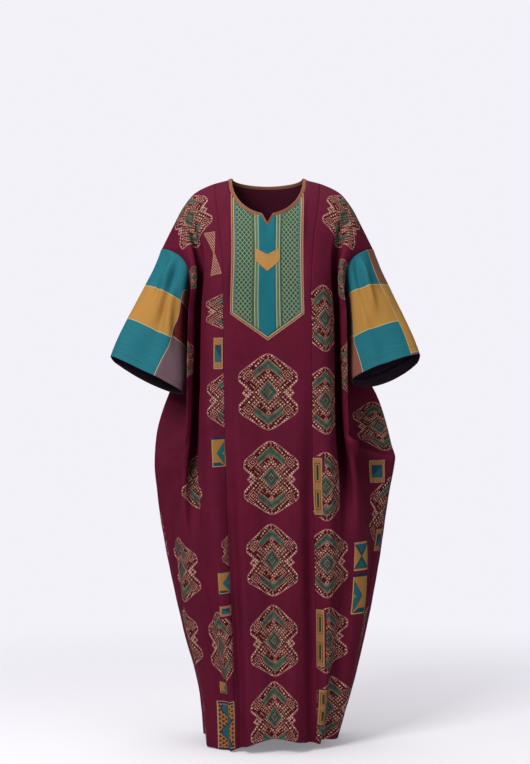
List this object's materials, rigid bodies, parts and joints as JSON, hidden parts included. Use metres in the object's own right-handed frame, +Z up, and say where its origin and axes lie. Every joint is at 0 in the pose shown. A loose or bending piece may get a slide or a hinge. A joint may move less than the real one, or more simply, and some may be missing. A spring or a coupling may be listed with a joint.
{
  "type": "grand boubou robe",
  "caption": "Hollow grand boubou robe as worn, with lowered open sleeves, an embroidered bib on the chest and a bound, notched neck",
  "frame": {"origin": "the middle of the line between the two points where the neckline meets the shoulders, which is where the robe rests on its wearer", "axes": "+X to the wearer's left along the shoulder line, +Y to the back of the robe, +Z up along its length"},
  "size_m": [0.778, 0.318, 1.4315],
  "materials": {
    "wine_cloth": "matt printed cotton in wine red, with teal, ochre and cream shapes",
    "check_cloth": "matt woven cotton in large blocks of teal, ochre and plum",
    "tan_binding": "matt cotton bias strip",
    "lattice_embroidery": "green cloth covered with raised cream trellis embroidery",
    "teal_strip": "matt woven cotton",
    "braid": "close rows of cream and green stitching",
    "gold_applique": "matt woven cotton in ochre"
  },
  "bodies": {
    "root": {"front_centre": "wine_cloth", "front_side_right": "wine_cloth", "front_side_left": "wine_cloth", "back": "wine_cloth", "sleeve_right": "check_cloth", "sleeve_left": "check_cloth", "neck_binding": "tan_binding", "bib": "lattice_embroidery", "bib_strip": "teal_strip", "bib_braid_right": "braid", "bib_braid_left": "braid", "bib_border": "braid", "bib_chevron": "gold_applique"}
  },
  "joints": []
}
